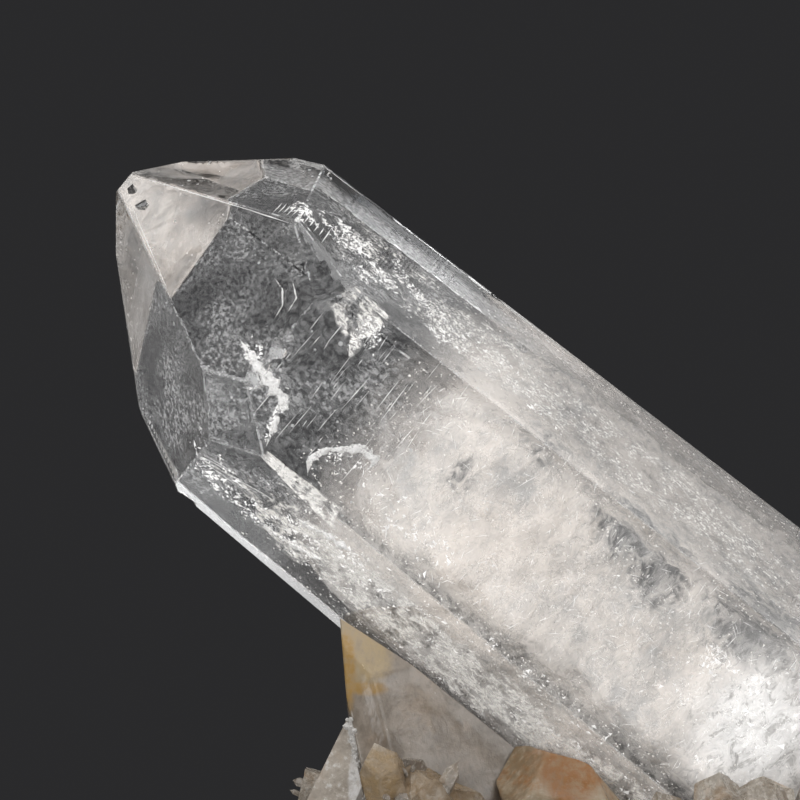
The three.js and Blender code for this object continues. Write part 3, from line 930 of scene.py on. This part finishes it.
def makeVeilFinish(name, style):
    finish, tree, shader = newFinish(name)
    place = placeInPoint(tree)
    inner = addNode(tree, "Attribute", attribute_name="inner").outputs["Fac"]
    clump = grain(tree, place, style["clumpsPerMm"], 2, 0.6, bend=0.5)
    fleck = grain(tree, place, style["perMm"], 3, 0.65, stretch=(1, 1.3, 0.8), bend=0.7)
    clumps = spread(tree, times(tree, clump, spread(tree, inner, 0, 0.5, 0.7, 1)), *style["clumps"])
    flecks = spread(tree, fleck, *style["flecks"])
    alpha = plus(tree, times(tree, flecks, clumps), times(tree, clumps, style["mist"]))
    alpha = times(tree, calc(tree, "MINIMUM", alpha, 0.95), spread(tree, inner, 0, 0.25))
    shader.inputs["Base Color"].default_value = (*veils["colour"], 1)
    shader.inputs["Roughness"].default_value = 0.3
    wire(tree, (alpha, shader.inputs["Alpha"]))
    addBump(tree, shader, fleck, 0.25)
    return finish


def makeVeils(walls):
    cells, wave = veils["cells"], veils["wave"]
    for style, rule in veils["styles"].items():
        shape = bmesh.new()
        insides = []
        for number, (corners, bend, own) in enumerate(veils["sheets"].values()):
            if own != style:
                continue
            a, b, c, d = (Vector(corner) for corner in corners)
            out = (b - a).cross(d - a).normalized()
            out = -out if out.x < 0 else out
            sides = ([], [])
            for i in range(cells + 1):
                for j in range(cells + 1):
                    u, v = i / cells, j / cells
                    rim = min(u, 1 - u, v, 1 - v) * 2
                    spot = a.lerp(b, u).lerp(d.lerp(c, u), v)
                    crown = (1 - (2 * u - 1) ** 2) * (1 - (2 * v - 1) ** 2)
                    dip = 0.5 + noise.fractal(spot * wave["perMm"] + Vector((number * 7, 0, 0)), 0.9, 2.1, 3)
                    dip *= (wave["depth"] + bend * wave["withBend"]) * min(1, rim * wave["rim"])
                    spot -= out * (bend * crown + dip)
                    half = veils["thick"] / 2 * min(1, rim * veils["thinRim"])
                    spot = heldIn(spot, walls, veils["margin"] + veils["apart"] * number)
                    for wall, side in zip(sides, (half, -half)):
                        wall.append(shape.verts.new(fromPointSpot(spot + out * side) * mm))
                        insides.append(rim)
            for wall, order in zip(sides, (1, -1)):
                for i in range(cells):
                    for j in range(cells):
                        k = i * (cells + 1) + j
                        ring = (wall[k], wall[k + 1], wall[k + cells + 2], wall[k + cells + 1])
                        shape.faces.new(ring[::order])
        shape.verts.index_update()
        layer = shape.verts.layers.float.new("inner")
        for v, inside in zip(shape.verts, insides):
            v[layer] = inside
        bmesh.ops.remove_doubles(shape, verts=shape.verts, dist=1e-8)
        bmesh.ops.recalc_face_normals(shape, faces=shape.faces)
        body = finishShape(shape, style + "Veils", sharp=180)
        body.data.materials.append(makeVeilFinish(style + "Veil", rule))
        keepInside(body)
        print(style + " veils:", len(body.data.polygons), "faces")


# Bruises are white crushed quartz along a line: its spots, and the radius at each

bruises = {
    "rings": 64,
    "spokes": 20,
    "flat": 0.45,
    "margin": 0.1,
    "thinEnds": 6,
    "lumps": {"perMm": 1.3, "height": 1.1, "least": 0.15},
    "holes": {"perMm": 1.1, "from": 0.36, "to": 0.5},
    "grainsPerMm": 2.2,
    "dark": (0.6, 0.59, 0.58),
    "pale": (0.98, 0.97, 0.96),
    "lines": {
        "chip": [
            ((14.0, -2.4, 78.0), 0.17), ((14.9, -3.1, 75.8), 0.58), ((15.6, -3.6, 73.8), 0.41),
            ((16.1, -4.0, 72), 0.68), ((16.3, -4.6, 70.4), 0.54), ((16.2, -6.2, 69.8), 0.2),
            ((16, -7.6, 69.4), 0.31), ((15.9, -9.2, 68.9), 0.1),
        ],
        "arc": [
            ((16.2, -8.9, 63.8), 0.12), ((16.3, -7.4, 64.7), 0.3), ((16.3, -5.4, 63.9), 0.26),
            ((16.4, -4, 62.4), 0.34), ((16.4, -3, 60.8), 0.42), ((16.4, -3.4, 59.4), 0.36),
            ((16.4, -4.9, 59.6), 0.12),
        ],
        "second arc": [
            ((13.2, 4.6, 79.2), 0.03), ((13.9, 4.2, 77.6), 0.08), ((14.5, 2.9, 76.5), 0.06),
            ((14.9, 1.2, 76.3), 0.03),
        ],
        "third arc": [((13.9, 5.6, 77.5), 0.03), ((14.6, 4.4, 75.8), 0.07), ((14.8, 2.8, 75.6), 0.03)],
        "lower line": [
            ((8.4, -15.0, 75), 0.06), ((10.0, -14.6, 70.6), 0.2), ((11.6, -13.9, 66.6), 0.16),
            ((12.4, -13.6, 64), 0.05),
        ],
        "lower spray": [
            ((7.4, -15.3, 65), 0.06), ((6.8, -15.6, 63), 0.5), ((7.2, -15.3, 61.4), 0.25),
            ((7.6, -15.1, 60), 0.6), ((8.2, -14.7, 58), 0.35), ((9.6, -13.9, 56), 0.08),
        ],
        "lower patch": [
            ((11.4, -12.6, 62), 0.1), ((12, -12.4, 60.4), 0.5), ((12.8, -12, 58.6), 0.35),
            ((13, -11.9, 57), 0.55), ((13.4, -11.6, 55), 0.15),
        ],
    },
}


def makeBruises(walls):
    finish, tree, shader = newFinish("crushedQuartz")
    place = placeInMm(tree)
    fine = grain(tree, place, bruises["grainsPerMm"], 4, 0.7)
    colour = blendColour(tree, spread(tree, fine, 0.3, 0.6), bruises["dark"], bruises["pale"])
    perMm, start, stop = bruises["holes"].values()
    holes = spread(tree, grain(tree, place, perMm, 4, 0.7), start, stop)
    wire(tree, (colour, shader.inputs["Base Color"]), (holes, shader.inputs["Alpha"]))
    shader.inputs["Roughness"].default_value = 0.35
    addBump(tree, shader, fine, 0.3)
    shape = bmesh.new()
    lumps, rings, spokes = bruises["lumps"], bruises["rings"], bruises["spokes"]
    front = Vector((1, 0, 0))
    for number, line in enumerate(bruises["lines"].values()):
        spots = [Vector(spot) for spot, _ in line]
        radii = [radius for _, radius in line]
        rows = []
        for i in range(rings + 1):
            far = i / rings * (len(line) - 1)
            k = min(int(far), len(line) - 2)
            share = far - k
            smooth = share * share * (3 - 2 * share)
            middle = spots[k].lerp(spots[k + 1], share)
            way = (spots[k + 1] - spots[k]).normalized()
            across = way.cross(front).normalized()
            end = min(1, bruises["thinEnds"] * min(i, rings - i) / rings)
            radius = (radii[k] * (1 - smooth) + radii[k + 1] * smooth) * end
            row = []
            for j in range(spokes):
                turn = 2 * math.pi * j / spokes
                side = across * math.cos(turn) + front * math.sin(turn) * bruises["flat"]
                lumpSpot = (middle + side * radius) * lumps["perMm"] + front * number * 5
                lump = max(lumps["least"], 1 + lumps["height"] * noise.fractal(lumpSpot, 0.8, 2.1, 5))
                spot = heldIn(middle + side * radius * lump, walls, bruises["margin"])
                row.append(shape.verts.new(fromPointSpot(spot) * mm))
            rows.append(row)
        skin(shape, rows)
    body = finishShape(shape, "crushedQuartz", sharp=40)
    body.data.materials.append(finish)
    keepInside(body)
    print("bruises:", len(body.data.polygons), "faces")


# Base and smaller crystals

def makeQuartz(name, look):
    # cloudy quartz: pale and dark clouds, streaks, frost, iron stain, and patches of their own colour, which are
    # stains and crust on the small points and painted shade in the recess of the base
    finish, tree, shader = newFinish(name)
    place = placeInMm(tree)
    clouds = grain(tree, place, look.get("perMm", 0.16), 4, 0.62, bend=0.5)
    fine = grain(tree, place, look.get("finePerMm", 1.1), 4, 0.7, stretch=look.get("stretch"))
    mixed = plus(tree, times(tree, clouds, 0.6), times(tree, fine, 0.4))
    share = spread(tree, mixed, 0.38, 0.6)
    colour = blendColour(tree, share, look["dark"], look["pale"])
    frost = spread(tree, fine, 0.52, 0.66, 0, look.get("frost", 0.4))
    colour = blendColour(tree, frost, colour, (0.88, 0.86, 0.83))
    clear = times(tree, rest(tree, frost), look.get("clear", 0.4))
    rough = plus(tree, times(tree, fine, 0.25), look.get("roughness", 0.12))
    stained = spread(tree, grain(tree, place, look.get("stainPerMm", 0.13), 4, 0.7), 0.52, 0.7)
    stained = times(tree, stained, look.get("stain", 0.3))
    if look.get("hollows"):
        hollow = addNode(tree, "Attribute", attribute_name="hollow")
        deep = spread(tree, plus(tree, hollow.outputs["Fac"], times(tree, fine, 0.3)), 0.25, 0.6)
        stained = calc(tree, "MAXIMUM", stained, times(tree, deep, look["hollows"]))
    rustDark, rustPale = look.get("rustDark", (0.16, 0.075, 0.025)), look.get("rustPale", (0.50, 0.30, 0.12))
    colour = blendColour(tree, stained, colour, blendColour(tree, fine, rustDark, rustPale))
    clear = times(tree, clear, rest(tree, stained))
    for at, stretch, reach, own, opaque in look.get("patches", ()):
        shift = addNode(tree, "VectorMath", operation="SUBTRACT")
        shift.inputs[1].default_value = at
        pull = addNode(tree, "VectorMath", operation="MULTIPLY")
        pull.inputs[1].default_value = stretch
        far = addNode(tree, "VectorMath", operation="LENGTH")
        wire(tree, (place, shift.inputs[0]), (shift.outputs[0], pull.inputs[0]), (pull.outputs[0], far.inputs[0]))
        edge = plus(tree, far.outputs["Value"], times(tree, clouds, reach))
        inside = spread(tree, edge, reach * 1.7, reach * 1.2)
        colour = blendColour(tree, times(tree, inside, spread(tree, fine, 0.35, 0.6, 0.5, 0.95)), colour, own)
        clear = times(tree, clear, rest(tree, times(tree, inside, opaque)))
    shader.inputs["IOR"].default_value = 1.544
    wire(
        tree, (colour, shader.inputs["Base Color"]), (clear, shader.inputs["Transmission Weight"]),
        (rough, shader.inputs["Roughness"]),
    )
    addBump(tree, shader, plus(tree, fine, times(tree, clouds, 1.5)), look.get("bump", 0.12))
    return finish


def carve(shape, depth, perMm, fade=None):
    # takes a little off, never adds, so that neighbours stay apart
    shape.normal_update()
    reaches = edgeReach(shape, flatSpots(shape), fade) if fade else [1] * len(shape.verts)
    moves = []
    for v, reach in zip(shape.verts, reaches):
        lump = 0.5 + 0.5 * noise.fractal(v.co / mm * perMm, 0.8, 2.1, 5)
        moves.append((v, v.normal * -min(1, max(0, lump)) * depth * mm * reach))
    for v, move in moves:
        v.co += move


def hollowness(data):
    # how far each corner lies below its neighbours, smoothed, as an attribute that the finish reads
    count = len(data.vertices)
    spots, ways = np.empty(count * 3), np.empty(count * 3)
    data.vertices.foreach_get("co", spots)
    data.vertices.foreach_get("normal", ways)
    spots, ways = spots.reshape(-1, 3) / mm, ways.reshape(-1, 3)
    ends = np.empty(len(data.edges) * 2, int)
    data.edges.foreach_get("vertices", ends)
    one, other = ends.reshape(-1, 2).T
    degree = np.bincount(one, minlength=count) + np.bincount(other, minlength=count)

    def around(values):
        total = np.zeros_like(values)
        np.add.at(total, one, values[other])
        np.add.at(total, other, values[one])
        return total / np.maximum(degree, 1).reshape((-1,) + (1,) * (values.ndim - 1))

    settled = spots
    for _ in range(hollows["settle"]):
        settled = around(settled)
    depth = ((settled - spots) * ways).sum(1)
    for _ in range(hollows["soften"]):
        depth = 0.5 * depth + 0.5 * around(depth)
    depth = np.clip(depth / hollows["deepest"], -1, 1)
    data.attributes.new("hollow", "FLOAT", "POINT").data.foreach_set("value", depth.astype(np.float32))


hollows = {"settle": 14, "soften": 4, "deepest": 0.9}  # rounds of each, and what counts as fully hollow

base = {
    "longest": 1.15,
    "depth": 0.5,
    "perMm": 0.3,
    "look": {
        "pale": (0.74, 0.67, 0.58), "dark": (0.42, 0.355, 0.28), "clear": 0.35, "roughness": 0.14, "frost": 0.35,
        "stain": 0.75, "hollows": 0.9, "bump": 0.25,
        # painted shade: darker brown patches where the recess under the grey point lies in shadow
        "patches": [
            ((-21.5, -22, 27), (0.8, 0.2, 1), 5, (0.27, 0.19, 0.11), 0.7),
            ((-27.4, -21, 26), (1.2, 0.2, 0.7), 3, (0.40, 0.28, 0.15), 0.5),
        ],
    },
}


def makeBase():
    shape = facetedCopy("base")
    cutFine(shape, base["longest"])
    carve(shape, base["depth"], base["perMm"])
    body = finishShape(shape, "quartzBase", sharp=32)
    hollowness(body.data)
    body.data.materials.append(makeQuartz("milkyQuartz", base["look"]))
    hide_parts("base")
    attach(body, "root")
    print("base:", len(body.data.polygons), "faces")
    return body


druse = {
    "seed": 17,
    "tries": 9000,
    "radius": (0.25, 0.95),
    "longer": (1.6, 3.2),
    "chance": (0.1, 0.6),  # on the flat, and how much more in a hollow
    "steepest": -0.3,
    "stray": 0.35,
    "upward": 0.25,
    "sunk": 0.8,  # the foot and the tip, in radii and lengths from the ground
    "reach": 1.6,
    "lowest": 2.5,
    "margin": 1.2,  # clear of the large point
    "seam": {  # a white crust between the grey and the frosted crystal
        "ends": ((-30.0, -10.6, 30.9), (-28.55, -12, 23)), "count": 200, "stray": 0.14, "radius": (0.15, 0.34),
        "grow": (-0.2, -1, 0.3), "lean": 0.5, "colour": (0.82, 0.80, 0.77),
    },
    "tree": {"Point width": 1 * mm, "Point length": 2.2 * mm, "Tip length": 1.2 * mm},
    "look": {
        "pale": (0.74, 0.68, 0.60), "dark": (0.45, 0.38, 0.31), "clear": 0.6, "roughness": 0.1, "frost": 0.35,
        "stain": 0.5, "bump": 0.08, "perMm": 0.3, "finePerMm": 2,
    },
}


def makeCrystal(tree, given):
    # a six-sided point: a prism with a tip and a foot, welded
    nodes = tree.nodes
    prism, tip, foot = (nodes.new("GeometryNodeMesh" + kind) for kind in ("Cone", "Cone", "Circle"))
    prism.fill_type = tip.fill_type = "NONE"
    foot.fill_type = "NGON"
    for part in (prism, tip, foot):
        part.inputs["Vertices"].default_value = 6
    tip.inputs["Radius Top"].default_value = 0
    lift, shape = nodes.new("GeometryNodeTransform"), nodes.new("ShaderNodeCombineXYZ")
    turnOver, join = nodes.new("GeometryNodeFlipFaces"), nodes.new("GeometryNodeJoinGeometry")
    weld = nodes.new("GeometryNodeMergeByDistance")
    weld.inputs["Distance"].default_value = 1e-6
    wire(
        tree,
        (given["Point width"], prism.inputs["Radius Top"]),
        (given["Point width"], prism.inputs["Radius Bottom"]),
        (given["Point width"], tip.inputs["Radius Bottom"]),
        (given["Point width"], foot.inputs["Radius"]),
        (given["Point length"], prism.inputs["Depth"]),
        (given["Tip length"], tip.inputs["Depth"]),
        (given["Point length"], shape.inputs["Z"]),
        (tip.outputs["Mesh"], lift.inputs["Geometry"]),
        (shape.outputs["Vector"], lift.inputs["Translation"]),
        (foot.outputs["Mesh"], turnOver.inputs["Mesh"]),
        (prism.outputs["Mesh"], join.inputs["Geometry"]),
        (lift.outputs["Geometry"], join.inputs["Geometry"]),
        (turnOver.outputs["Mesh"], join.inputs["Geometry"]),
        (join.outputs["Geometry"], weld.inputs["Geometry"]),
    )
    return weld.outputs["Geometry"]


def makeDruse(ground, faces):
    # small points grow out of the base, most of them where it is hollow
    rng = np.random.default_rng(druse["seed"])
    data = ground.data
    low, high = (np.array(corner) / mm + shrink for corner, shrink in zip(cadBox, (1, -1)))
    areas = np.array([p.area for p in data.polygons])
    picks = rng.choice(len(areas), druse["tries"], p=areas / areas.sum())
    hollow = data.attributes["hollow"].data
    flat, more = druse["chance"]
    ownLength = druse["tree"]["Point length"] / mm
    spots, sizes, turns = [], [], []
    for pick in picks:
        polygon = data.polygons[int(pick)]
        deep = sum(hollow[i].value for i in polygon.vertices) / len(polygon.vertices)
        luck, across, length, stray = rng.random(), rng.random(), rng.random(), rng.normal(0, druse["stray"], 3)
        if luck > flat + more * max(0, deep) or polygon.normal.z < druse["steepest"]:
            continue
        grow = (polygon.normal + Vector(stray) + Vector((0, 0, druse["upward"]))).normalized()
        radius = within(druse["radius"], across ** 2)
        tall = radius * within(druse["longer"], length)
        foot = polygon.center / mm - grow * radius * druse["sunk"]
        tip = foot + grow * tall * druse["reach"]
        if tip.z < druse["lowest"] or (np.array(tip) < low).any() or (np.array(tip) > high).any():
            continue
        if all(tip.dot(way) < far + druse["margin"] for way, far in faces):
            continue
        spots.append(foot)
        sizes.append((radius, radius, tall / ownLength))
        turns.append(grow.to_track_quat("Z", "Y").to_euler())
    tree = scatterTree("smallQuartzPoints", druse["tree"], makeCrystal)
    finish = makeQuartz("druseQuartz", druse["look"])
    body = scatter("smallPoints", tree, spots, sizes, turns, {**druse["tree"], "Finish": finish})
    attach(body, "root")
    seam = druse["seam"]
    start, end = (Vector(spot) for spot in seam["ends"])
    spots, sizes, turns = [], [], []
    for _ in range(seam["count"]):
        grow = (Vector(seam["grow"]) + Vector(rng.normal(0, seam["lean"], 3))).normalized()
        radius = rng.uniform(*seam["radius"])
        spots.append(start.lerp(end, rng.random()) + Vector(rng.normal(0, seam["stray"], 3)))
        sizes.append((radius, radius, radius))
        turns.append(grow.to_track_quat("Z", "Y").to_euler())
    finish = makeDull("seamQuartz", seam["colour"], roughness=0.4, through=0.2)
    body = scatter("seamPoints", tree, spots, sizes, turns, {**druse["tree"], "Finish": finish})
    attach(body, "root")


smallRelief = {"edgeWear": 0.12, "shortestWorn": 1.5, "longest": 0.8, "fade": 1.2, "sharp": 14}
smallCrystals = {
    "grey_crystal": {
        "piece": "greyPoint", "slot": "grey_quartz", "depth": 0.22, "perMm": 0.16,
        "look": {
            "pale": (0.50, 0.43, 0.36), "dark": (0.31, 0.26, 0.21), "clear": 0.4, "roughness": 0.1, "frost": 0,
            "stain": 0.2, "bump": 0.07, "stretch": (1, 0.7, 0.7),
            "patches": [
                ((-29.2, -9, 38), (0.9, 0.3, 0.75), 3.2, (0.56, 0.43, 0.25), 0.3),
                ((-30.6, -9, 36), (1.6, 0.3, 0.4), 1.8, (0.44, 0.27, 0.09), 0.5),
                ((-28.2, -9, 34.2), (0.5, 0.3, 1.3), 1.1, (0.44, 0.27, 0.09), 0.5),
            ],
        },
    },
    "frosted_crystal": {
        "piece": "frostedPoint", "slot": "frosted_quartz", "depth": 0.45, "perMm": 0.4,
        "look": {
            "pale": (0.58, 0.51, 0.43), "dark": (0.36, 0.30, 0.24), "clear": 0.12, "roughness": 0.3, "frost": 0.7,
            "stain": 0.35, "bump": 0.22,
            "patches": [((-29.6, -12, 24), (1.4, 0.1, 0.22), 1, (0.80, 0.78, 0.76), 1)],
        },
    },
    "orange_crystal": {
        "piece": "stainedPoint", "slot": "stained_quartz", "depth": 0.2, "perMm": 0.2,
        "look": {
            "pale": (0.52, 0.41, 0.28), "dark": (0.30, 0.21, 0.12), "clear": 0.3, "roughness": 0.1, "frost": 0.08,
            "stain": 0.95, "stainPerMm": 0.2, "rustPale": (0.38, 0.16, 0.035), "rustDark": (0.15, 0.052, 0.012),
            "bump": 0.1,
            "patches": [((-7.5, -15, 26.6), (0.8, 0.3, 1), 3, (0.32, 0.13, 0.028), 0.4)],
        },
    },
}
for node, piece in (
    ("right_crystal", "rightPoint"), ("end_crystal", "endPoint"), ("upper_rear_crystal", "upperRearPoint"),
    ("rear_crystal", "rearPoint"), ("left_rear_crystal", "leftRearPoint"),
):
    smallCrystals[node] = {
        "piece": piece, "slot": "frosted_quartz" if node == "left_rear_crystal" else "grey_quartz",
        "depth": 0.18, "perMm": 0.22,
        "look": {
            "pale": (0.66, 0.60, 0.53), "dark": (0.36, 0.31, 0.26), "clear": 0.5, "roughness": 0.07, "frost": 0.35,
            "stain": 0.35, "bump": 0.08,
        },
    }


def makeSmallCrystals():
    for node, crystal in smallCrystals.items():
        shape = facetedCopy(node)
        wearEdges(shape, smallRelief["edgeWear"], smallRelief["shortestWorn"])
        cutFine(shape, smallRelief["longest"])
        carve(shape, crystal["depth"], crystal["perMm"], fade=smallRelief["fade"])
        body = finishShape(shape, crystal["piece"], sharp=smallRelief["sharp"])
        body.data.materials.append(makeQuartz(crystal["piece"], crystal["look"]))
        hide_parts(node)
        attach(body, "root")
        print(crystal["piece"] + ":", len(body.data.polygons), "faces")


makeCamera()
makeStudio()
makeFloor()
print("camera, lamps and floor are in place")
chips = scatterTree("scatteredChips", ("Chip size", "Chip thickness", "Chip length"), makeChip)
largeFaces = makeLargePoint()
glass = [(toPoint @ way, far - way.dot(pointRoot)) for way, far in largeFaces]
makeMilkyShells(glass)
makeCloud(glass, chips)
makeFlakes(glass, chips)
makeNeedles(glass, chips)
makeVeils(glass)
makeBruises(glass)
makeDruse(makeBase(), largeFaces)
makeSmallCrystals()
